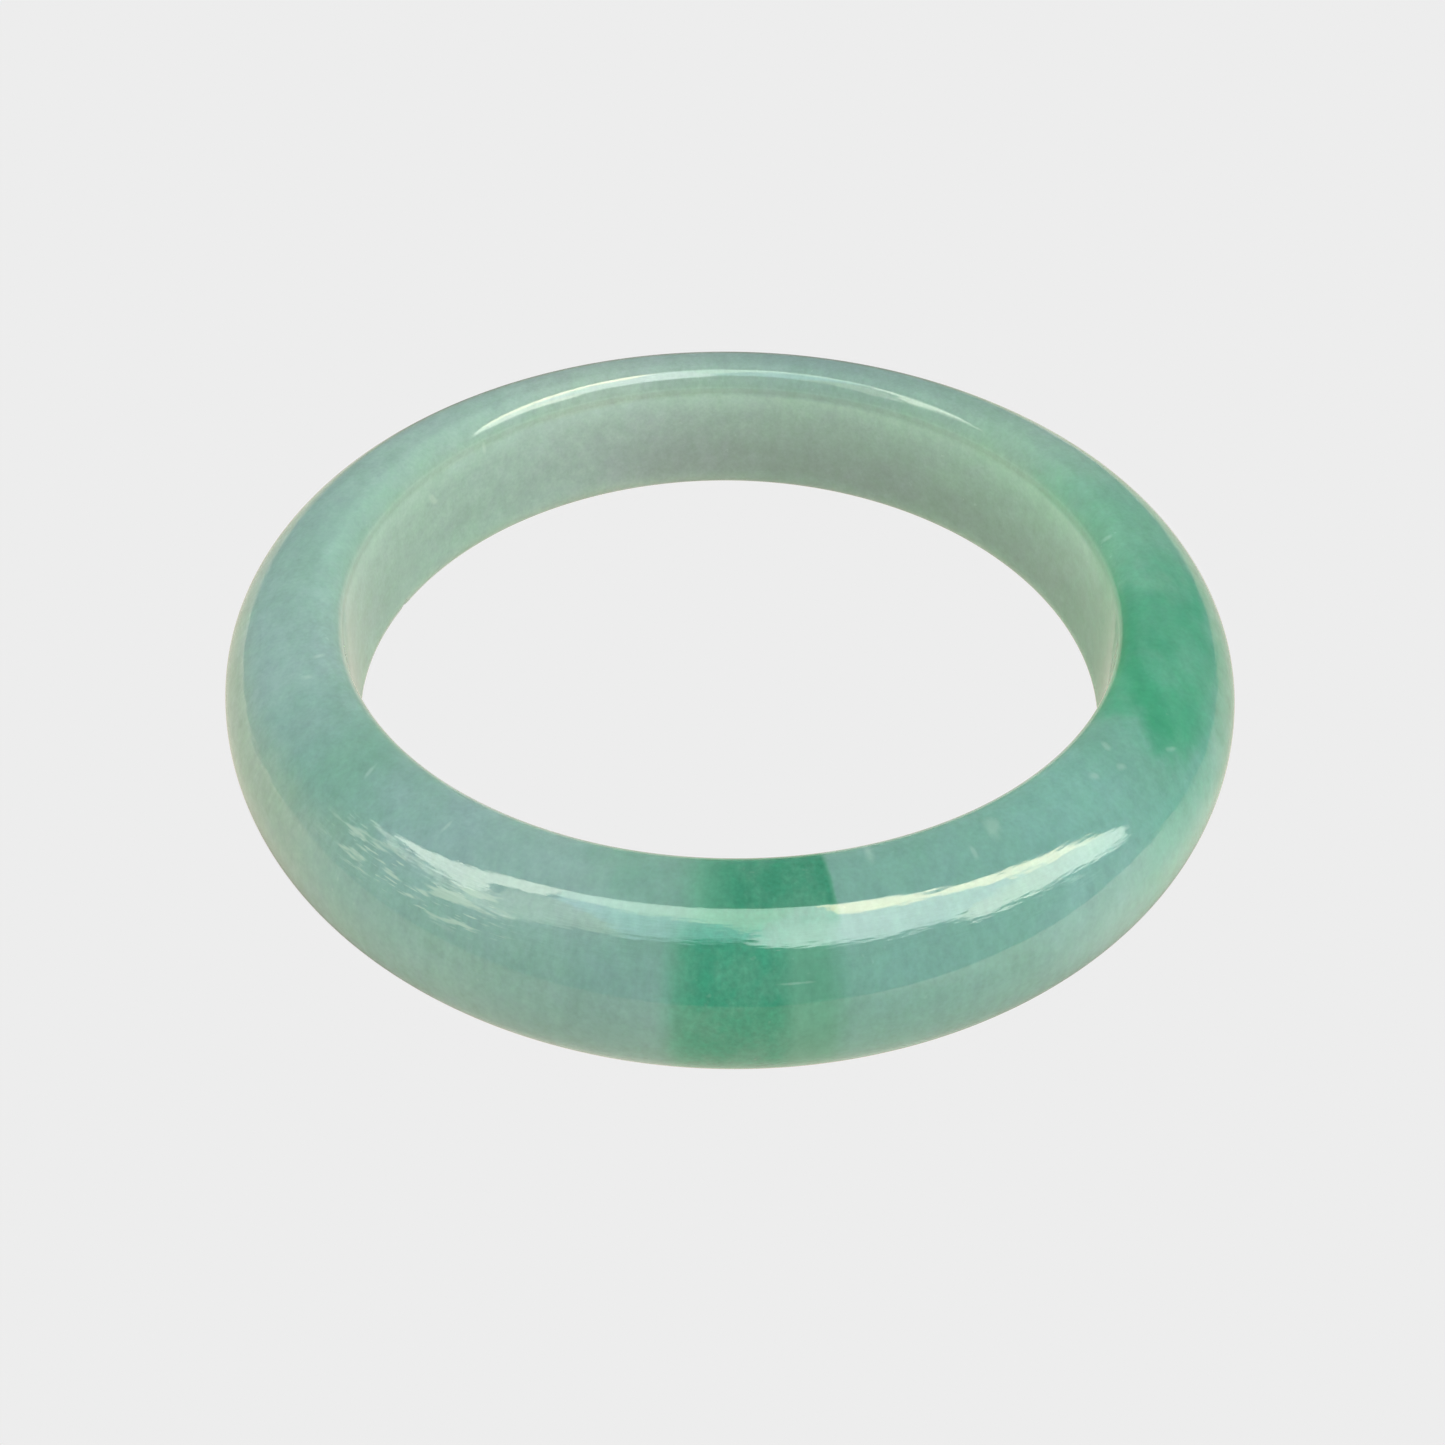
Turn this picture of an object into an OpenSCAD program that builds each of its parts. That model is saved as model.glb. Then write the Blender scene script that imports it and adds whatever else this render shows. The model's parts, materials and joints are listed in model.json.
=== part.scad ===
// Solid jade bangle, cut and polished from one piece of stone.
// The ring stands on its lower flat, with the axis of the wrist hole along +Z
// and the origin at the centre of the base. Millimetres.

/* [Ring] */
// Inside diameter, across the wrist hole
inner_d = 56; // [50:0.5:64]
// Height of the band, along the wrist
band_h = 12.6; // [11.8:0.1:14]
// Thickness of the band, from the inner wall to the outermost point
band_t = 8.5; // [8:0.1:10.5]

/* [Rounding] */
// Radius of the rounded inner edges
inner_edge_r = 2; // [0.8:0.1:2.5]
// Radius of the shoulders, between the flats and the domed outer face
shoulder_r = 5.85; // [4.5:0.05:5.85]
// Radius of the domed outer face, seen in section
dome_r = 7.9; // [7.5:0.1:9]

/* [Quality] */
// Steps around the ring in the preview
ring_steps = 240; // [60:20:480]
// Steps around each rounding of the section in the preview
arc_steps = 96; // [32:8:160]

/* [Hidden] */

jade_green = [0.52, 0.71, 0.64];

inner_r = inner_d / 2;
outer_r = inner_r + band_t;
mid_h = band_h / 2;

// Section centres, as [distance from the axis, height]. The dome's circle is centred
// at mid height, and each shoulder's circle touches it from the inside.
edge_x = inner_r + inner_edge_r;
dome_x = outer_r - dome_r;
shoulder_rise = mid_h - shoulder_r;
shoulder_x = dome_x + sqrt(pow(dome_r - shoulder_r, 2) - pow(shoulder_rise, 2));

// Direction from the dome's centre to the points where the shoulders take over, and
// a reach that takes a slice of the disc past its edge
meet_angle = atan2(shoulder_rise, shoulder_x - dome_x);
slice_reach = 2 * dome_r;

// Both copies of something about the band's mid height
module top_and_bottom() {
    translate([0, mid_h]) {
        children();
        mirror([0, 1]) children();
    }
}

// Disc of the section, centred a given rise above the mid height
module section_disc(x, rise, r) {
    translate([x, rise]) circle(r = r, $fn = arc_steps);
}

// Rounded inner edge at the upper end: a quarter of its disc
module inner_edge() {
    intersection() {
        section_disc(edge_x, mid_h - inner_edge_r, inner_edge_r);
        translate([inner_r, 0]) square([inner_edge_r, mid_h]);
    }
}

// Upper shoulder: the part of its disc that lies outside the flat
module shoulder() {
    intersection() {
        section_disc(shoulder_x, shoulder_rise, shoulder_r);
        translate([shoulder_x, 0]) square([shoulder_r, mid_h]);
    }
}

// Straight inner wall, and the narrow flats at both ends of the band
module core() {
    translate([inner_r, inner_edge_r])
        square([inner_edge_r, band_h - 2 * inner_edge_r]);
    translate([edge_x, 0]) square([shoulder_x - edge_x, band_h]);
}

// Domed face between the shoulders: the slice of its disc between the lines that
// pass through the shoulders' centres
module dome() {
    translate([0, mid_h])
        intersection() {
            section_disc(dome_x, 0, dome_r);
            polygon([
                [dome_x, 0],
                [dome_x + slice_reach, slice_reach * tan(meet_angle)],
                [dome_x + slice_reach, -slice_reach * tan(meet_angle)]
            ]);
        }
}

// Half of the band cut through, to the right of the axis
module band_section() {
    core();
    top_and_bottom() {
        inner_edge();
        shoulder();
    }
    dome();
}

module bangle_ring() {
    color(jade_green)
        rotate_extrude($fn = ring_steps) band_section();
}

bangle_ring();
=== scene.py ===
"""A polished jade bangle lying flat on a pale table, under a soft overhead light."""

import json
import math

import bpy
from mathutils import Matrix, Vector


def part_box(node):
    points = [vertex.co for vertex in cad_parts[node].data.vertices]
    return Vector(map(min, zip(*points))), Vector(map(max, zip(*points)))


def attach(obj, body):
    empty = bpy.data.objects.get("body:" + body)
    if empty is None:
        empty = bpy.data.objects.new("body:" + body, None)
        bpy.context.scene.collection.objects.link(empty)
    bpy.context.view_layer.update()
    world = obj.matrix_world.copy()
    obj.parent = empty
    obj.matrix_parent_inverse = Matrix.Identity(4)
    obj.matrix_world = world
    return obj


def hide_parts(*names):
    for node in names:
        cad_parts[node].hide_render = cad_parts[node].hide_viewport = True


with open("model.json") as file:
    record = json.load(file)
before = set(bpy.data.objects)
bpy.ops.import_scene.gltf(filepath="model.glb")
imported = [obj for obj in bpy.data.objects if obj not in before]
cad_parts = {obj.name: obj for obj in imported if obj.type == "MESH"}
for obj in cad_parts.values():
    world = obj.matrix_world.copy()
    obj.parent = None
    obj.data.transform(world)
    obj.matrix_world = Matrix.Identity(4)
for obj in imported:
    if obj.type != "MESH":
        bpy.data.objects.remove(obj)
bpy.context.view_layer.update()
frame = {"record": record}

MM = 0.001

# ---------------------------------------------------------------- driving dimensions
BASE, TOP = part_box("bangle_ring")
MOUNTS = {mount["name"]: mount for mount in frame["record"]["mounts"]}
BORE_R = MOUNTS["wrist_bore"]["dims"]["r_mm"] * MM
OUTER_R = TOP.x
BAND_H = TOP.z - BASE.z
MID_H = BAND_H / 2

# Roundings of the band's section: inner edges, shoulders, and the domed outer face
EDGE_R = 2.0 * MM
SHOULDER_R = 5.85 * MM
DOME_R = 7.9 * MM

# Middle of the band's section, which section angles are measured round
SECTION_R = (BORE_R + OUTER_R) / 2

# A small chip in the lower inner edge: degrees round the ring, distance from the axis,
# height, reach and depth
CHIP_TURN, CHIP_R, CHIP_Z = 163, BORE_R + 0.4 * MM, 0.75 * MM
CHIP_REACH, CHIP_DEPTH = 0.75 * MM, 0.28 * MM

# Mesh resolution: steps around the ring, around the section, and along each of the arcs
# that the section's steps are laid out on
RING_STEPS = 720
SECTION_STEPS = 120
ARC_STEPS = 400


# ---------------------------------------------------------------- camera
# The camera looks along +Y and down on the ring. Angles are in degrees, the lens and the
# sensor in millimetres, and the nearest and farthest that it sees in metres.
CAMERA_PITCH, CAMERA_ROLL = 34.31, -0.437
CAMERA_LENS, CAMERA_SENSOR = 33.22, 36
CAMERA_SHIFT_Y = -0.14
NEAREST, FARTHEST = 0.005, 20

# Where the centre of the base lies, seen from the camera: right, down and ahead
BASE_RIGHT, BASE_DOWN, BASE_AHEAD = 0.51 * MM, 12.73 * MM, 105.0 * MM


def make_camera():
    """A camera at the photograph's angle."""
    pitch, roll = math.radians(CAMERA_PITCH), math.radians(CAMERA_ROLL)
    ahead = Vector((0, math.cos(pitch), -math.sin(pitch)))
    level_right = Vector((1, 0, 0))
    level_down = ahead.cross(level_right)
    right = math.cos(roll) * level_right + math.sin(roll) * level_down
    down = ahead.cross(right)

    data = bpy.data.cameras.new("camera")
    data.sensor_width = CAMERA_SENSOR
    data.lens = CAMERA_LENS
    data.shift_y = CAMERA_SHIFT_Y
    data.clip_start, data.clip_end = NEAREST, FARTHEST
    camera = bpy.data.objects.new("camera", data)
    bpy.context.scene.collection.objects.link(camera)
    axes = Matrix((right, -down, -ahead)).transposed().to_4x4()
    place = -(BASE_RIGHT * right + BASE_DOWN * down + BASE_AHEAD * ahead)
    camera.matrix_world = Matrix.Translation(place) @ axes
    bpy.context.scene.camera = camera


# ---------------------------------------------------------------- node trees
class Graph:
    """Short ways to fill a node tree, which it empties first."""

    def __init__(self, tree):
        self.nodes, self.links = tree.nodes, tree.links
        self.nodes.clear()

    def add(self, kind, inputs, **settings):
        """A node with its settings, and its inputs linked or given a value."""
        node = self.nodes.new("ShaderNode" + kind)
        for name, setting in settings.items():
            setattr(node, name, setting)
        for key, value in inputs.items():
            if isinstance(value, bpy.types.NodeSocket):
                self.links.new(value, node.inputs[key])
            else:
                node.inputs[key].default_value = value
        return node

    # Numbers
    def math(self, operation, a, b=0.0):
        return self.add("Math", {0: a, 1: b}, operation=operation).outputs[0]

    def total(self, first, *others):
        for other in others:
            first = self.math("ADD", first, other)
        return first

    def product(self, first, *others):
        for other in others:
            first = self.math("MULTIPLY", first, other)
        return first

    def greatest(self, first, *others):
        for other in others:
            first = self.math("MAXIMUM", first, other)
        return first

    def blend(self, factor, a, b):
        """A value between two others."""
        node = self.add("Mix", {"Factor": factor, "A": a, "B": b}, data_type="FLOAT")
        return node.outputs["Result"]

    def remap(self, value, low, high, to_low=0.0, to_high=1.0, kind="SMOOTHSTEP"):
        """A value from one range, held and eased into another."""
        ends = {"From Min": low, "From Max": high, "To Min": to_low, "To Max": to_high}
        node = self.add("MapRange", {"Value": value, **ends}, interpolation_type=kind)
        return node.outputs["Result"]

    def linear(self, value, low, high, to_low=0.0, to_high=1.0):
        """A value from one range, held and carried over evenly into another."""
        return self.remap(value, low, high, to_low, to_high, "LINEAR")

    def swing(self, noise_value, amount):
        """A noise value as a factor that swings about 1."""
        return self.linear(noise_value, 0.0, 1.0, 1 - amount / 2, 1 + amount / 2)

    def window(self, value, start, end, start_soft, end_soft):
        """1 between two values, fading out over a width at either one."""
        rise = self.remap(value, start - start_soft, start + start_soft)
        fall = self.remap(value, end - end_soft, end + end_soft, 1.0, 0.0)
        return self.product(rise, fall)

    # Vectors and noise
    def combine(self, x, y, z=0.0):
        return self.add("CombineXYZ", {"X": x, "Y": y, "Z": z}).outputs[0]

    def split(self, vector):
        """A vector's own outputs, X, Y and Z."""
        return self.add("SeparateXYZ", {0: vector}).outputs

    def stretched(self, vector, factors):
        """A vector with each axis multiplied by a factor of its own."""
        return self.add("VectorMath", {0: vector, 1: factors}, operation="MULTIPLY").outputs[0]

    def in_mm(self, place):
        """A place in millimetres, from one in metres."""
        return self.stretched(place, (1 / MM, 1 / MM, 1 / MM))

    def shifted(self, vector, amount):
        """A vector moved aside, so that two noises of one place differ."""
        offset = (amount, amount, amount)
        return self.add("VectorMath", {0: vector, 1: offset}, operation="ADD").outputs[0]

    def noise(self, vector, size, detail=2.0, roughness=0.5, turn=None):
        """Smooth noise from 0 to 1 with features of a size, in the vector's unit."""
        inputs = {"Vector": vector, "Scale": 1 / size, "Detail": detail}
        inputs["Roughness"] = roughness
        if turn is not None:
            inputs["W"] = turn
        dimensions = "3D" if turn is None else "4D"
        return self.add("TexNoise", inputs, noise_dimensions=dimensions).outputs["Fac"]

    # Colours
    def mix(self, factor, a, b, blend="MIX"):
        inputs = {"Factor": factor, "A": a, "B": b}
        node = self.add("Mix", inputs, data_type="RGBA", blend_type=blend)
        return node.outputs["Result"]

    def tinted(self, colour, tint, where=1.0):
        """A colour multiplied by another."""
        return self.mix(where, colour, tint, "MULTIPLY")

    def shaded(self, colour, shade):
        """A colour multiplied by a number."""
        return self.tinted(colour, self.combine(shade, shade, shade))

    def ramp(self, share, stops):
        """A colour that eases from stop to stop: pairs of a place, 0 to 1, and a colour."""
        node = self.add("ValToRGB", {"Fac": share})
        node.color_ramp.interpolation = "EASE"
        elements = node.color_ramp.elements
        for k, (position, colour) in enumerate(stops):
            if k == 0:
                element = elements[0]
            elif k == len(stops) - 1:
                element = elements[-1]
            else:
                element = elements.new(position)
            element.position = position
            element.color = (*colour, 1)
        return node.outputs["Color"]

    # Shaders
    def mix_shaders(self, factor, a, b):
        return self.add("MixShader", {"Fac": factor, 1: a, 2: b}).outputs["Shader"]

    def by_ray(self, camera, gloss, other):
        """One shader to the camera, one in reflections, and one for all other light."""
        path = self.add("LightPath", {}).outputs
        to_stone = self.mix_shaders(path["Is Glossy Ray"], other, gloss)
        return self.mix_shaders(path["Is Camera Ray"], to_stone, camera)

    def end(self, shader, kind="OutputMaterial"):
        self.add(kind, {"Surface": shader})


def new_material(name):
    """A material, and the graph to fill it with."""
    material = bpy.data.materials.new(name)
    material.use_nodes = True
    return material, Graph(material.node_tree)


# ---------------------------------------------------------------- table and room
# The table's edges. They show in the stone as the line where its mirrored white ends.
TABLE_LEFT, TABLE_RIGHT = -240 * MM, 240 * MM
TABLE_FRONT, TABLE_BACK = -86 * MM, 500 * MM

# All that the camera sees behind the ring, the table where the lamps light it, the sky
# that lights the stone, and the room that the stone mirrors
BACKDROP = (0.847, 0.847, 0.847, 1)
TABLE_WHITE = (0.93, 0.88, 0.76, 1)
SKY = (0.69, 0.71, 0.72, 1)
ROOM = (0.24, 0.31, 0.34, 1)

# The table as the stone mirrors it: colour by millimetres from the ring's centre. A warm
# dim white ends in a step, and the table is a plain white beyond it.
MIRRORED_TABLE = [
    (28, (0.74, 0.70, 0.58)),
    (255, (0.80, 0.74, 0.60)),
    (255.2, (1.01, 1.00, 0.98)),
    (300, (1.00, 1.00, 1.00)),
]
MIRROR_REACH = MIRRORED_TABLE[-1][0]

# Parts of the mirrored table that are brighter or dimmer by a factor. Their places are in
# millimetres: two values are where a part starts and where it is full, and four are a
# window, its start and end and how softly it fades at each.

# Brighter at the left and at the front right
BRIGHTER = 1.75
LEFT_X, LEFT_Y = (-90, -230), (-30, 125, 30, 45)
RIGHT_X, RIGHT_Y = (28, 200, 14, 40), (-5, -30)

# Dimmer behind the ring, in a window of X over Y: painted shade on the mirrored table
BEHIND_SHADE = 0.36
BEHIND_ASIDE, BEHIND_Y = (-0.85, 0.42, 0.25, 0.15), (35, 50)

# Dimmer at the ring's foot in front, to the left and right of its middle: the ring's shadow,
# painted into the mirrored table. The last is the distance from the ring's centre.
FOOT_SHADOW = 0.5
FOOT_X, FOOT_Y, FOOT_REACH = (8, 24), (-8, -20), (42, 35)


def brighter_ground(graph, x, y):
    """Where the mirrored table is brighter, 0 to 1."""
    left = graph.product(graph.remap(x, *LEFT_X), graph.window(y, *LEFT_Y))
    right = graph.product(graph.window(x, *RIGHT_X), graph.remap(y, *RIGHT_Y))
    return graph.greatest(left, right)


def painted_shade_behind(graph, x, y):
    """Where painted shade makes the mirrored table dimmer behind the ring, 0 to 1."""
    aside = graph.math("DIVIDE", x, graph.greatest(y, 1.0))
    return graph.product(graph.window(aside, *BEHIND_ASIDE), graph.remap(y, *BEHIND_Y))


def painted_ring_shadow(graph, x, y, distance):
    """Where the ring's painted shadow makes the mirrored table dimmer at its foot, 0 to 1."""
    aside = graph.remap(graph.math("ABSOLUTE", x), *FOOT_X)
    return graph.product(aside, graph.remap(y, *FOOT_Y), graph.remap(distance, *FOOT_REACH))


def mirrored_white(graph):
    """The table as the stone mirrors it: warm round the ring, dimmer behind it with painted
    shade and at its foot with the ring's painted shadow, and brightest at the left and the
    front right."""
    place = graph.in_mm(graph.add("NewGeometry", {}).outputs["Position"])
    distance = graph.add("VectorMath", {0: place}, operation="LENGTH").outputs["Value"]
    axes = graph.split(place)
    x, y = axes["X"], axes["Y"]
    share = graph.linear(distance, 0.0, MIRROR_REACH)
    white = graph.ramp(share, [(mm / MIRROR_REACH, shade) for mm, shade in MIRRORED_TABLE])
    bright = graph.blend(brighter_ground(graph, x, y), 1.0, BRIGHTER)
    # Painted shade behind the ring, and the ring's painted shadow at its foot
    behind = graph.blend(painted_shade_behind(graph, x, y), 1.0, BEHIND_SHADE)
    at_foot = graph.blend(painted_ring_shadow(graph, x, y, distance), 1.0, FOOT_SHADOW)
    return graph.shaded(white, graph.product(bright, behind, at_foot))


def table_material():
    """Evenly lit to the camera, a warm white in the stone's reflections, and elsewhere lit
    by what falls on it from the lamps."""
    material, graph = new_material("table_white")
    even = graph.add("Emission", {"Color": BACKDROP}).outputs["Emission"]
    mirrored = graph.add("Emission", {"Color": mirrored_white(graph)}).outputs["Emission"]
    lit = graph.add("BsdfDiffuse", {"Color": TABLE_WHITE}).outputs["BSDF"]
    graph.end(graph.by_ray(even, mirrored, lit))
    return material


def add_flat(name, points, material):
    """A flat piece of the stage with one face."""
    mesh = bpy.data.meshes.new(name)
    mesh.from_pydata(points, [], [tuple(range(len(points)))])
    mesh.materials.append(material)
    flat = bpy.data.objects.new(name, mesh)
    bpy.context.scene.collection.objects.link(flat)
    return flat


def make_floor():
    corners = [(TABLE_LEFT, TABLE_FRONT), (TABLE_RIGHT, TABLE_FRONT)]
    corners += [(TABLE_RIGHT, TABLE_BACK), (TABLE_LEFT, TABLE_BACK)]
    points = [(x, y, BASE.z) for x, y in corners]
    floor = add_flat("table", points, table_material())


def make_world():
    """Pale to the camera. Reflections see a dim bluish room and the stone a soft sky."""
    world = bpy.data.worlds.new("room")
    bpy.context.scene.world = world
    world.use_nodes = True
    graph = Graph(world.node_tree)
    shades = []
    for colour in (BACKDROP, ROOM, SKY):
        shades.append(graph.add("Background", {"Color": colour}).outputs["Background"])
    graph.end(graph.by_ray(*shades), "OutputWorld")


# ---------------------------------------------------------------- lights
LAMP_HEIGHT = 1.2
WARM_STRIP_HEIGHT = LAMP_HEIGHT - 5 * MM

# Faint streaks in the light: their width with the noise's detail and roughness, factors
# of place that draw them out along X, and the noise values and strengths between which
# they swing
LAMP_STREAKS = (80 * MM, 3.0, 0.7)
LAMP_DRAW = (0.12, 1.0, 1.0)
LAMP_SWING = (0.3, 0.7, 0.86, 1.14)

# One soft overhead light, in patches of different brightness: radiance, and corners in
# units of the lamp's height, seen from the ring's centre
LAMP_PATCHES = {
    "main": (
        (4.5, 4.9, 4.9),
        [(0.12, 0.04), (0.85, 0.0), (0.85, -0.72), (0.72, -0.75), (0.56, -0.83),
         (0.16, -0.8), (0.06, -0.62)],
    ),
    "main_right": (
        (5.6, 5.7, 5.0),
        [(0.85, 0.0), (1.55, -0.05), (1.55, -0.68), (1.3, -0.86), (1.1, -0.9),
         (0.95, -0.7), (0.85, -0.72)],
    ),
    "right": (
        (5.4, 5.6, 5.0),
        [(1.55, -0.05), (2.4, -0.15), (2.35, -0.47), (1.95, -0.5), (1.6, -0.62),
         (1.55, -0.68)],
    ),
    "right_tip": (
        (3.4, 3.6, 3.2),
        [(2.4, -0.15), (3.05, -0.27), (3.0, -0.4), (2.4, -0.43)],
    ),
    "right_low": (
        (2.2, 2.3, 2.0),
        [(2.05, -0.76), (2.3, -0.72), (2.55, -0.84), (2.2, -0.88)],
    ),
    "wedge": (
        (5.2, 5.4, 4.6),
        [(-0.85, 0.1), (-0.28, 0.07), (-0.36, -0.05), (-0.52, -0.1), (-0.58, -0.17),
         (-0.6, -0.23), (-0.66, -0.28), (-0.85, -0.38)],
    ),
    "branch": (
        (3.9, 4.9, 4.2),
        [(-0.28, 0.07), (0.12, 0.04), (0.09, -0.35), (0.04, -0.4), (-0.04, -0.22),
         (-0.12, -0.1), (-0.33, -0.02)],
    ),
    "middle": (
        (1.8, 2.7, 2.9),
        [(-0.33, -0.02), (-0.12, -0.1), (-0.04, -0.22), (0.04, -0.4), (0.09, -0.35),
         (0.06, -0.62), (-0.3, -0.63)],
    ),
    "left_fill": (
        (1.8, 2.0, 1.6),
        [(-0.85, -0.42), (-0.6, -0.27), (-0.5, -0.13), (-0.33, -0.08), (-0.3, -0.63),
         (-0.66, -0.66), (-0.85, -0.72)],
    ),
    "far_left": (
        (2.8, 3.0, 2.5),
        [(-1.03, 0.1), (-0.93, 0.1), (-0.9, -0.4), (-0.8, -0.75), (-0.88, -0.85),
         (-1.03, -0.45)],
    ),
}
WARM_STRIP = (
    (10.0, 8.8, 6.4),
    [(0.15, 0.03), (0.95, -0.01), (1.5, -0.05), (1.0, -0.13), (0.62, -0.17),
     (0.42, -0.12), (0.28, -0.17)],
)

# The even glow on the body of the stone: its edges in units of the lamp's height, and
# its radiance
FILL_LEFT, FILL_RIGHT = -0.85, 2.4
FILL_NEAR, FILL_FAR = -0.8, 0.0
FILL_RADIANCE = 1.84

# The small light over the wrist hole: watts, size, height and colour
GLOW_POWER = 0.013
GLOW_R, GLOW_HEIGHT = 8 * MM, 17 * MM
GLOW_COLOUR = (1.0, 0.93, 0.84)


def lamp_material(name, radiance):
    """A lamp's light, with faint streaks along X."""
    material, graph = new_material(name)
    place = graph.add("TexCoord", {}).outputs["Object"]
    streaks = graph.noise(graph.stretched(place, LAMP_DRAW), *LAMP_STREAKS)
    strength = graph.linear(streaks, *LAMP_SWING)
    glow = graph.add("Emission", {"Color": (*radiance, 1), "Strength": strength})
    graph.end(glow.outputs["Emission"])
    return material


def add_lamp_patch(name, radiance, corners, height):
    """A flat piece of the overhead light, which shows only in the stone's gloss."""
    points = [(x * LAMP_HEIGHT, y * LAMP_HEIGHT, height) for x, y in corners]
    patch = add_flat(name, points, lamp_material(name, radiance))
    patch.visible_camera = False
    patch.visible_diffuse = False


def add_hidden_light(name, data, place):
    """A light that shows neither to the camera nor in the gloss."""
    lamp = bpy.data.objects.new(name, data)
    bpy.context.scene.collection.objects.link(lamp)
    lamp.location = place
    lamp.visible_camera = False
    lamp.visible_glossy = False


def add_fill():
    """The overhead light's even glow on the body of the stone."""
    data = bpy.data.lights.new("fill", "AREA")
    data.shape = "RECTANGLE"
    data.size = (FILL_RIGHT - FILL_LEFT) * LAMP_HEIGHT
    data.size_y = (FILL_FAR - FILL_NEAR) * LAMP_HEIGHT
    data.energy = FILL_RADIANCE * math.pi * data.size * data.size_y
    middle = Vector(((FILL_LEFT + FILL_RIGHT) / 2, (FILL_NEAR + FILL_FAR) / 2, 1))
    add_hidden_light("fill", data, middle * LAMP_HEIGHT)


def add_glow():
    """A small warm light over the wrist hole, for the light that the stone and the table
    pass between them onto the inner wall."""
    data = bpy.data.lights.new("glow", "POINT")
    data.shadow_soft_size = GLOW_R
    data.energy = GLOW_POWER
    data.color = GLOW_COLOUR
    add_hidden_light("glow", data, (0, 0, GLOW_HEIGHT))


def make_lights():
    for name, (radiance, corners) in LAMP_PATCHES.items():
        add_lamp_patch("lamp_" + name, radiance, corners, LAMP_HEIGHT)
    add_lamp_patch("lamp_warm_strip", *WARM_STRIP, WARM_STRIP_HEIGHT)
    add_fill()
    add_glow()


# ---------------------------------------------------------------- the ring's shape
def arc(centre, radius, start, end):
    """Points on an arc of the section, from one angle up to another in degrees."""
    points = []
    for k in range(ARC_STEPS):
        angle = math.radians(start + (end - start) * k / ARC_STEPS)
        points.append(centre + radius * Vector((math.cos(angle), math.sin(angle))))
    return points


def even_steps(outline, steps):
    """Points at equal distances along a closed outline."""
    closed = outline + outline[:1]
    along = [0.0]
    for a, b in zip(closed, closed[1:]):
        along.append(along[-1] + (b - a).length)
    points = []
    k = 0
    for step in range(steps):
        target = along[-1] * step / steps
        while along[k + 1] < target:
            k += 1
        share = (target - along[k]) / (along[k + 1] - along[k])
        points.append(closed[k].lerp(closed[k + 1], share))
    return points


def section_outline():
    """The band's section as a closed outline, in even steps: distance from axis, height."""
    dome = Vector((OUTER_R - DOME_R, MID_H))
    rise = MID_H - SHOULDER_R
    reach = math.sqrt((DOME_R - SHOULDER_R) ** 2 - rise**2)
    meet = math.degrees(math.atan2(rise, reach))
    upper = dome + Vector((reach, rise))
    lower = dome + Vector((reach, -rise))
    edge_x = BORE_R + EDGE_R
    outline = arc(dome, DOME_R, -meet, meet)
    outline += arc(upper, SHOULDER_R, meet, 90)
    outline += arc(Vector((edge_x, BAND_H - EDGE_R)), EDGE_R, 90, 180)
    outline += arc(Vector((edge_x, EDGE_R)), EDGE_R, 180, 270)
    outline += arc(lower, SHOULDER_R, 270, 360 - meet)
    return even_steps(outline, SECTION_STEPS)


def ring_point(turn, distance, height):
    """A point in space from its angle round the ring, distance from the axis and height."""
    return Vector((distance * math.cos(turn), distance * math.sin(turn), height))


def chipped(point, turn):
    """A surface point, moved into the stone where the chip is. The inner half of the
    chip's reach has its full depth."""
    chip = ring_point(math.radians(CHIP_TURN), CHIP_R, CHIP_Z)
    nearness = 1 - (point - chip).length / CHIP_REACH
    if nearness <= 0:
        return point
    inward = (ring_point(turn, SECTION_R, MID_H) - point).normalized()
    return point + inward * CHIP_DEPTH * min(1, 2 * nearness)


def ring_mesh():
    """The bangle as one closed surface of quads."""
    outline = section_outline()
    vertices = []
    for i in range(RING_STEPS):
        turn = 2 * math.pi * i / RING_STEPS
        for point in outline:
            vertices.append(chipped(ring_point(turn, point.x, point.y), turn))
    faces = []
    for i in range(RING_STEPS):
        here, there = i * SECTION_STEPS, (i + 1) % RING_STEPS * SECTION_STEPS
        for j in range(SECTION_STEPS):
            k = (j + 1) % SECTION_STEPS
            faces.append((here + j, there + j, there + k, here + k))
    mesh = bpy.data.meshes.new("jade_bangle")
    mesh.from_pydata(vertices, [], faces)
    mesh.polygons.foreach_set("use_smooth", [True] * len(faces))
    mesh.update()
    return mesh


def make_ring():
    ring = bpy.data.objects.new("jade_bangle", ring_mesh())
    bpy.context.scene.collection.objects.link(ring)
    ring.data.materials.append(jade())
    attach(ring, "root")
    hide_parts("bangle_ring")


# ---------------------------------------------------------------- the stone's colours
# Angles round the ring run from +X towards +Y: -90 degrees is the front. Angles round the
# section are measured at its middle: 0 degrees outwards, 90 up, 180 to the wrist hole.
# A window is its start and end in degrees, and how softly it fades at each.

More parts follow.
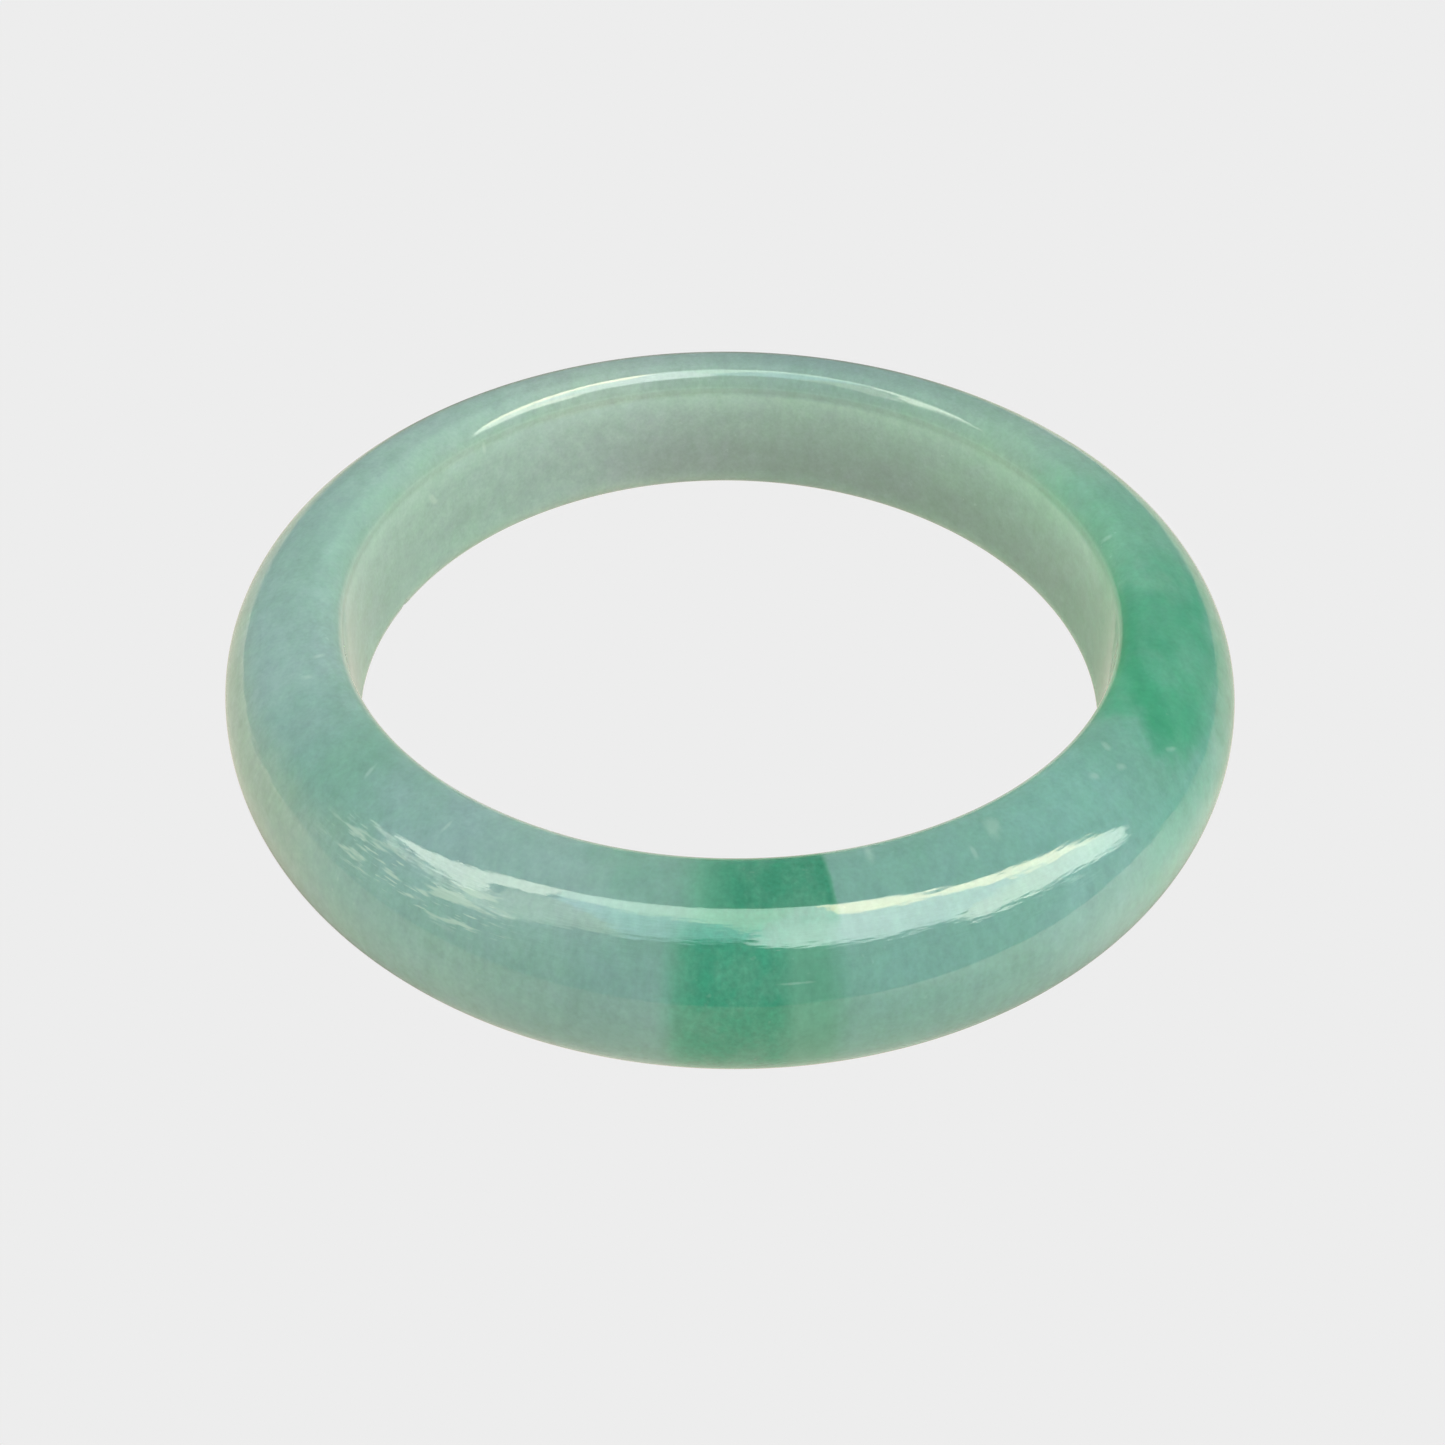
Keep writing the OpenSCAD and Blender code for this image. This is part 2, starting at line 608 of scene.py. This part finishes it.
# The stone's colour round the ring: on its top, low on its outer face, and on the wall of
# the wrist hole. These are partly the stone's own colours, such as its green zones, and
# partly painted light and shade, set zone by zone to how bright each part looks. The
# wall's colours are lighter and warmer: painted light that passes through the stone.
TOP_COLOURS = [
    (-180, (0.26, 0.41, 0.35)),
    (-155, (0.28, 0.42, 0.38)),
    (-136, (0.20, 0.37, 0.30)),
    (-122, (0.25, 0.39, 0.36)),
    (-106, (0.25, 0.39, 0.35)),
    (-99, (0.19, 0.36, 0.29)),
    (-72, (0.19, 0.37, 0.31)),
    (-48, (0.20, 0.405, 0.34)),
    (-38, (0.17, 0.37, 0.29)),
    (-31, (0.08, 0.35, 0.21)),
    (-14, (0.08, 0.33, 0.20)),
    (6, (0.16, 0.37, 0.26)),
    (35, (0.25, 0.39, 0.31)),
    (75, (0.23, 0.34, 0.30)),
    (115, (0.31, 0.41, 0.36)),
    (140, (0.30, 0.43, 0.37)),
    (180, (0.26, 0.41, 0.35)),
]
LOW_COLOURS = [
    (-180, (0.31, 0.43, 0.35)),
    (-145, (0.30, 0.42, 0.33)),
    (-122, (0.24, 0.40, 0.34)),
    (-113, (0.24, 0.395, 0.34)),
    (-103, (0.205, 0.36, 0.31)),
    (-78, (0.19, 0.38, 0.32)),
    (-65, (0.195, 0.385, 0.325)),
    (-53, (0.235, 0.43, 0.38)),
    (-38, (0.18, 0.43, 0.34)),
    (-22, (0.18, 0.39, 0.29)),
    (-8, (0.17, 0.37, 0.28)),
    (25, (0.26, 0.42, 0.35)),
    (180, (0.31, 0.43, 0.35)),
]
WALL_COLOURS = [
    (-180, (0.28, 0.43, 0.38)),
    (-100, (0.27, 0.42, 0.36)),
    (-40, (0.12, 0.34, 0.22)),
    (-7, (0.11, 0.31, 0.20)),
    (16, (0.25, 0.42, 0.33)),
    (70, (0.26, 0.38, 0.33)),
    (115, (0.31, 0.42, 0.39)),
    (150, (0.29, 0.43, 0.38)),
    (180, (0.28, 0.43, 0.38)),
]

# Section angles over which the outer face's colours come in, and over which the wall's
# do, at its upper and its lower edge
LOW_TILT = (80, 48)
WALL_UPPER, WALL_LOWER = (135.5, 139), (-118, -142)

# How far clouds move the outer face's limit and the colours round the ring: noise values,
# and degrees
DRIFT = (0.2, 0.8, -6.0, 6.0)

# Tints of the greener and bluer clouds, and the noise values that they run between
GREENER, BLUER = (0.95, 1.01, 0.94, 1), (1.03, 0.99, 1.04, 1)
TINT_NOISE = (0.3, 0.7)

# The green cloud: its window round the ring, tints of its darker and paler parts with the
# noise values that they run between, and tints of its deep and pale patches
CLOUD_TURN = (-38, 0, 4, 8)
CLOUD_DARK, CLOUD_PALE = (0.84, 0.96, 0.92, 1), (1.16, 1.04, 1.08, 1)
DEPTH_NOISE = (0.35, 0.65)
DEEP_TINT, PALE_TINT = (0.66, 0.94, 0.85, 1), (1.28, 1.06, 1.12, 1)

# The green vein: section angles where its lower part gives way to the part on the top,
# windows of its halo and its core round the ring, its colours, how much of the halo
# covers the stone, and the core's patches as noise values and shares
ON_TOP = (74, 86)
HALO_TOP, HALO_LOW = (-94.0, -79.8, 2.4, 0.3), (-95.2, -80.5, 1.6, 1.8)
CORE_TOP, CORE_LOW = (-91.5, -80.0, 3.0, 0.4), (-94.2, -85.2, 2.2, 1.2)
VEIN_HALO = (0.11, 0.34, 0.22, 1)
VEIN_TOP = (0.04, 0.25, 0.145, 1)
VEIN_LOW = (0.045, 0.29, 0.175, 1)
HALO_STRENGTH = 0.85
CORE_PATCHES = (0.32, 0.62, 0.45, 1.0)

# Windows and shades of the painted shade band and the painted highlight, a pale hairline,
# where the rounded inner edge meets the wall, and of the painted shade on the inner top at
# the front. The wall has painted light just under that edge, over section angles, and
# painted shade a little below.
BAND_TILT, BAND_SHADE = (121, 135.8, 7, 0.8), 0.93
EDGE_HIGHLIGHT_TILT, EDGE_HIGHLIGHT = (131.4, 132.6, 0.7, 0.7), 0.06
FRONT_TURN, INNER_TILT, INNER_SHADE = (-166, -8, 12, 15), (108, 134, 5, 3), 0.90
WALL_LIGHT_SHADE = (138, 158, 0.06, -0.03)

# The wall's painted shade at its foot: millimetres above the band's middle, tints, and the
# window round the ring where the painted shade is darkest
FOOT_SHADE_UP = (3.5, -4.0)
FOOT_SHADE_TINT, FOOT_SHADE_TINT_RIGHT = (0.84, 0.86, 0.86, 1), (0.70, 0.64, 0.67, 1)
BACK_RIGHT = (5, 114, 15, 15)

# Whitish wisps and flecks, and polishing streaks on the outer shoulder at the front left,
# whose whitish colour is a painted sheen: colours, shares, windows, and the noise values
# between which each one comes up
WISP_COLOUR, WISP_STRENGTH = (0.62, 0.76, 0.68, 1), 0.18
FLECK_NOISE, FLECK_CLOUDS, FLECK_STRENGTH = (0.66, 0.76), (0.5, 0.6), 0.6
STREAK_SHEEN_COLOUR, STREAK_SHEEN_STRENGTH = (0.55, 0.68, 0.55, 1), 0.5
STREAK_TURN, STREAK_TILT = (-132, -111, 3, 3), (50, 76, 5, 6)
STREAK_NOISE, HAIRLINE_NOISE = (0.52, 0.64), (0.60, 0.70)

# Patches in the stone: degrees round the ring and the section, lean, half length round the
# section and half width along the ring in millimetres
DEEP_PATCHES = [
    (-29, 106, 54, 2.4, 1.3),
    (-35, 86, 25, 1.6, 1.5),
    (-18, 124, 0, 0.9, 3.2),
    (-8, 79, 0, 0.7, 3.6),
]
PALE_PATCHES = [
    (-23, 90, 0, 1.8, 3.0),
    (-7, 104, 0, 1.5, 2.6),
]
WISPS = [
    (-152.5, 103, 20, 0.40, 0.28),
    (-156, 112, -15, 0.35, 0.22),
    (-133.5, 100, -22, 0.50, 0.13),
    (-121, 98, 5, 0.45, 0.12),
    (-75, 113, 8, 0.80, 0.34),
    (-64.5, 97, 4, 0.40, 0.16),
    (-61, 104, 25, 0.60, 0.50),
    (-46.2, 99, 10, 0.28, 0.30),
    (-42.6, 93, -10, 0.24, 0.28),
    (-41.2, 106, 20, 0.30, 0.22),
    (-35.6, 78, -40, 0.25, 0.20),
    (6, 122, 8, 0.45, 0.25),
    (139, 138, 0, 0.45, 0.25),
    (152, 155, -30, 0.80, 0.35),
    (-84.5, 49, 2, 0.09, 0.80),
]

# Where a patch comes in and is full, as a share of its half size, and how far noise moves
# its edge and a wisp's: noise values, and shares. The vein's edge moves by degrees.
PATCH_FADE = (1.4, 0.2)
PATCH_EDGE, WISP_EDGE = (0.3, 0.7, -0.5, 0.5), (0.2, 0.8, -0.7, 0.7)
VEIN_EDGE = (0.0, 1.0, -0.3, 0.3)

# Noise in the stone: size of its features in millimetres, detail and roughness
CLOUDS = (6.0, 3.0, 0.6)
MOTTLE = (2.0, 4.0, 0.6)
BLOTCHES = (0.75, 3.0, 0.6)
SPECKS = (0.3, 2.0, 0.6)
TINTS = (3.0, 5.0, 0.85)
CLOUD_DEPTHS = (2.8, 3.0, 0.6)
FLECKS = (0.8, 2.0, 0.7)

# Shifts of place in millimetres, so that noises of one place differ
BLOTCH_SHIFT, TINT_SHIFT, DEPTH_SHIFT, FLECK_SHIFT = 40, 90, 15, 60

# Noise drawn out along the ring or round the section: length each way in millimetres,
# with the detail and roughness of all three
FIBRES = (0.5, 3.0)
STREAKS = (2.2, 0.45)
HAIRLINES = (1.3, 0.16)
GRAIN_DETAIL, GRAIN_ROUGHNESS = 2.0, 0.55

# Factors of place that draw most of the stone's other noise out, mainly front to back
STONE_DRAW = (1.0, 0.6, 0.8)

# How much each noise swings the brightness, everywhere and in some zones
MOTTLE_SWING, BLOTCH_SWING, FIBRE_SWING, SPECK_SWING = 0.24, 0.26, 0.06, 0.22
CORE_SPECKS, LOW_FIBRES = 0.35, 0.16

# Gloss: noise values and roughness of the polish, what its streaks add, and the relief's
# depth, with heights of its waves and lines as multiples of it. The lines are deepest on
# the shoulder, and elsewhere a small share of that.
POLISH = (0.3, 0.7, 0.03, 0.06)
STREAK_ROUGHNESS = 0.15
RELIEF = 0.006 * MM
WAVES, RELIEF_HAIRLINES, RELIEF_STREAKS = 1.2, 1.4, 2.6
SHOULDER_TILT, CALM_RELIEF = (50, 84, 5, 3), 0.06

# The stone's body: how it bends light, and how far red, green and blue go in it
JADE_IOR = 1.66
LIGHT_SHARES, LIGHT_REACH = (0.9, 1.0, 0.85), 4 * MM

# Millimetres of surface in one degree round the ring, and round the section
RING_DEGREE = math.radians(SECTION_R / MM)
SECTION_DEGREE = math.radians(MID_H / MM)


# ---------------------------------------------------------------- the stone's material
class Stone:
    """Where a point of the surface is, and the noise and zones that features share.

    turn and tilt are its angles round the ring and the section, and steep is tilt
    without its sign. In millimetres, mm is its place, drawn that place as the drawn-out
    noise takes it, and up its height above the band's middle."""

    def __init__(self, graph):
        self.graph = graph
        self.find_place()
        self.make_noise()
        self.make_zones()

    def find_place(self):
        graph = self.graph
        self.mm = graph.in_mm(graph.add("TexCoord", {}).outputs["Object"])
        axes = graph.split(self.mm)
        turn = graph.math("ARCTAN2", axes["Y"], axes["X"])
        squares = [graph.math("POWER", axes[name], 2.0) for name in ("X", "Y")]
        radius = graph.math("SQRT", graph.total(*squares))
        out = graph.math("SUBTRACT", radius, SECTION_R / MM)
        self.up = graph.math("SUBTRACT", axes["Z"], MID_H / MM)
        tilt = graph.math("ARCTAN2", self.up, out)
        self.turn = graph.math("DEGREES", turn)
        self.tilt = graph.math("DEGREES", tilt)
        self.steep = graph.math("ABSOLUTE", self.tilt)
        self.turn_circle = [graph.math(name, turn) for name in ("COSINE", "SINE")]
        self.tilt_circle = [graph.math(name, tilt) for name in ("COSINE", "SINE")]

    def make_noise(self):
        graph = self.graph
        self.drawn = graph.stretched(self.mm, STONE_DRAW)
        self.clouds = graph.noise(self.mm, *CLOUDS)
        self.mottle = graph.noise(self.drawn, *MOTTLE)
        self.blotches = graph.noise(graph.shifted(self.drawn, BLOTCH_SHIFT), *BLOTCHES)
        self.specks = graph.noise(self.mm, *SPECKS)
        self.fibres = self.grain(*FIBRES)
        self.streaks = self.grain(*STREAKS)
        self.hairlines = self.grain(*HAIRLINES)

    def grain(self, along_ring, round_section):
        """Noise drawn out along the ring or round the section: lengths in millimetres."""
        graph = self.graph
        ring_scale = SECTION_R / MM / along_ring
        section_scale = MID_H / MM / round_section
        turns = [graph.product(way, ring_scale) for way in self.turn_circle]
        tilts = [graph.product(way, section_scale) for way in self.tilt_circle]
        vector = graph.combine(turns[0], turns[1], tilts[0])
        return graph.noise(vector, 1.0, GRAIN_DETAIL, GRAIN_ROUGHNESS, turn=tilts[1])

    def make_zones(self):
        """low is 1 low on the outer face, wall on the wall of the wrist hole, on_top on the
        vein's upper part, and core in the vein's core."""
        graph = self.graph
        self.drift = graph.linear(self.clouds, *DRIFT)
        self.low = graph.remap(graph.total(self.steep, self.drift), *LOW_TILT)
        upper, lower = [graph.remap(self.tilt, *ends) for ends in (WALL_UPPER, WALL_LOWER)]
        self.wall = graph.greatest(upper, lower)
        self.on_top = graph.remap(self.steep, *ON_TOP)
        self.core = self.vein_part(CORE_TOP, CORE_LOW)

    def vein_part(self, top, low):
        """Where a part of the vein is, from its windows on the top and lower down."""
        graph = self.graph
        across = graph.total(self.turn, graph.linear(self.fibres, *VEIN_EDGE))
        return graph.blend(self.on_top, graph.window(across, *low), graph.window(across, *top))

    def patches(self, places, edge):
        """Where any of some oval patches is, with edges made ragged by a value."""
        masks = [self.patch(edge, *place) for place in places]
        return self.graph.greatest(*masks)

    def patch(self, edge, turn, tilt, lean, half_length, half_width):
        """Where one oval patch is, 0 to 1."""
        graph = self.graph
        across = graph.product(graph.math("SUBTRACT", self.turn, turn), RING_DEGREE)
        along = graph.product(graph.math("SUBTRACT", self.tilt, tilt), SECTION_DEGREE)
        angle = math.radians(lean)
        side = graph.product(along, math.sin(angle))
        crosswise = graph.math("SUBTRACT", graph.product(across, math.cos(angle)), side)
        width = graph.product(crosswise, 1 / half_width)
        length = graph.product(along, 1 / half_length)
        squares = [graph.math("POWER", way, 2.0) for way in (width, length)]
        far = graph.math("SQRT", graph.total(*squares))
        return graph.remap(graph.total(far, edge), *PATCH_FADE)


def round_ring(graph, turn, colours):
    """A colour that changes slowly round the ring, from stops in degrees."""
    share = graph.linear(turn, -180, 180)
    return graph.ramp(share, [((degrees + 180) / 360, colour) for degrees, colour in colours])


def body_colour(graph, stone):
    """The cloudy grey-green, with its zones' edges broken up by the clouds."""
    turn = graph.total(stone.turn, stone.drift)
    zones = (TOP_COLOURS, LOW_COLOURS, WALL_COLOURS)
    top, low, wall = [round_ring(graph, turn, colours) for colours in zones]
    # The zones' colours hold painted light and shade, and the wall's lighter colour is painted
    # light
    colour = graph.mix(stone.wall, graph.mix(stone.low, top, low), wall)
    tints = graph.noise(graph.shifted(stone.drawn, TINT_SHIFT), *TINTS)
    tint = graph.mix(graph.linear(tints, *TINT_NOISE), GREENER, BLUER)
    return graph.tinted(colour, tint)


def with_green_cloud(graph, stone, colour):
    """Deeper and lighter green inside the green cloud at the right."""
    cloud = graph.window(stone.turn, *CLOUD_TURN)
    depths = graph.noise(graph.shifted(stone.drawn, DEPTH_SHIFT), *CLOUD_DEPTHS)
    shades = graph.mix(graph.remap(depths, *DEPTH_NOISE), CLOUD_DARK, CLOUD_PALE)
    edge = graph.linear(stone.mottle, *PATCH_EDGE)
    colour = graph.tinted(colour, shades, cloud)
    colour = graph.tinted(colour, DEEP_TINT, stone.patches(DEEP_PATCHES, edge))
    return graph.tinted(colour, PALE_TINT, stone.patches(PALE_PATCHES, edge))


def with_vein(graph, stone, colour):
    """The green vein across the front. On the top its right edge is sharp and its left edge
    soft; lower down it lies a little to the left, with a light border on its right."""
    halo = graph.product(stone.vein_part(HALO_TOP, HALO_LOW), HALO_STRENGTH)
    core = graph.product(stone.core, graph.remap(stone.mottle, *CORE_PATCHES))
    vein = graph.mix(stone.on_top, VEIN_LOW, VEIN_TOP)
    return graph.mix(core, graph.mix(halo, colour, VEIN_HALO), vein)


def with_mottling(graph, stone, colour):
    """Light and dark mottling, fibres and fine specks."""
    grained = graph.greatest(stone.low, stone.core)
    shade = graph.product(
        graph.swing(stone.mottle, MOTTLE_SWING),
        graph.swing(stone.blotches, BLOTCH_SWING),
        graph.swing(stone.fibres, FIBRE_SWING),
        graph.swing(stone.specks, SPECK_SWING),
        graph.blend(stone.core, 1.0, graph.swing(stone.specks, CORE_SPECKS)),
        graph.blend(grained, 1.0, graph.swing(stone.fibres, LOW_FIBRES)),
    )
    return graph.shaded(colour, shade)


def with_painted_edge_light(graph, stone, colour):
    """Painted shade and a painted highlight round the upper edge of the wrist hole, and
    painted light and shade down its wall.
    """
    # Painted shade in a band under the edge, and a painted highlight along a hairline on it
    band = graph.blend(graph.window(stone.tilt, *BAND_TILT), 1.0, BAND_SHADE)
    edge_highlight = graph.product(graph.window(stone.tilt, *EDGE_HIGHLIGHT_TILT), EDGE_HIGHLIGHT)
    # Painted shade on the inner top at the front
    front = graph.window(stone.turn, *FRONT_TURN)
    inner = graph.product(front, graph.window(stone.tilt, *INNER_TILT))
    inner = graph.blend(inner, 1.0, INNER_SHADE)
    # Painted light on the wall just under the edge, and painted shade lower down
    fading = graph.product(stone.wall, graph.remap(stone.steep, *WALL_LIGHT_SHADE))
    edge = graph.product(graph.total(band, edge_highlight), inner)
    return graph.shaded(colour, graph.total(edge, fading))


def with_painted_foot_shade(graph, stone, colour):
    """Painted shade on the wall of the wrist hole, darker towards its foot, most of all at the
    back right.
    """
    # Painted shade, darker towards the wall's foot
    foot = graph.product(stone.wall, graph.linear(stone.up, *FOOT_SHADE_UP))
    back_right = graph.window(stone.turn, *BACK_RIGHT)
    return graph.tinted(colour, graph.mix(back_right, FOOT_SHADE_TINT, FOOT_SHADE_TINT_RIGHT), foot)


def with_wisps(graph, stone, colour):
    """White wisps, and sparse whitish flecks between them."""
    wisps = stone.patches(WISPS, graph.linear(stone.blotches, *WISP_EDGE))
    flecks = graph.noise(graph.shifted(stone.mm, FLECK_SHIFT), *FLECKS)
    flecks = graph.remap(flecks, *FLECK_NOISE)
    flecks = graph.product(flecks, graph.remap(stone.clouds, *FLECK_CLOUDS), FLECK_STRENGTH)
    white = graph.product(graph.greatest(wisps, flecks), WISP_STRENGTH)
    return graph.mix(white, colour, WISP_COLOUR)


def polishing_streaks(graph, stone):
    """Where the fine polishing streaks of the front left shoulder are, 0 to 1."""
    streaks = graph.remap(stone.streaks, *STREAK_NOISE)
    hairlines = graph.remap(stone.hairlines, *HAIRLINE_NOISE)
    turn, tilt = graph.window(stone.turn, *STREAK_TURN), graph.window(stone.tilt, *STREAK_TILT)
    return graph.product(graph.greatest(streaks, hairlines), turn, tilt)


def relief_normal(graph, stone):
    """Fine lines and waves left by polishing, deepest on the shoulder."""
    depth = graph.blend(graph.window(stone.tilt, *SHOULDER_TILT), CALM_RELIEF, 1.0)
    hairlines = graph.product(stone.hairlines, RELIEF_HAIRLINES)
    lines = graph.total(hairlines, graph.product(stone.streaks, RELIEF_STREAKS))
    height = graph.total(graph.product(stone.mottle, WAVES), graph.product(lines, depth))
    bump = graph.add("Bump", {"Height": height, "Strength": 1.0, "Distance": RELIEF})
    return bump.outputs["Normal"]


def jade():
    """Polished jade: cloudy grey-green, with a green vein, a green cloud and white wisps."""
    material, graph = new_material("jade")
    stone = Stone(graph)
    colour = body_colour(graph, stone)
    features = (with_green_cloud, with_vein, with_mottling, with_painted_edge_light)
    features += (with_painted_foot_shade, with_wisps)
    for with_feature in features:
        colour = with_feature(graph, stone, colour)
    streaks = polishing_streaks(graph, stone)
    # The polishing streaks are real fine lines; their whitish colour is a painted sheen, the
    # glint they catch
    colour = graph.mix(graph.product(streaks, STREAK_SHEEN_STRENGTH), colour, STREAK_SHEEN_COLOUR)
    polish = graph.linear(stone.mottle, *POLISH)
    inputs = {
        "Base Color": colour,
        "Roughness": graph.total(polish, graph.product(streaks, STREAK_ROUGHNESS)),
        "IOR": JADE_IOR,
        "Normal": relief_normal(graph, stone),
        "Subsurface Weight": 1.0,
        "Subsurface Radius": LIGHT_SHARES,
        "Subsurface Scale": LIGHT_REACH,
    }
    shader = graph.add("BsdfPrincipled", inputs, subsurface_method="RANDOM_WALK")
    graph.end(shader.outputs["BSDF"])
    return material


make_camera()
make_world()
make_floor()
make_lights()
make_ring()
bpy.context.scene.view_settings.view_transform = "Standard"
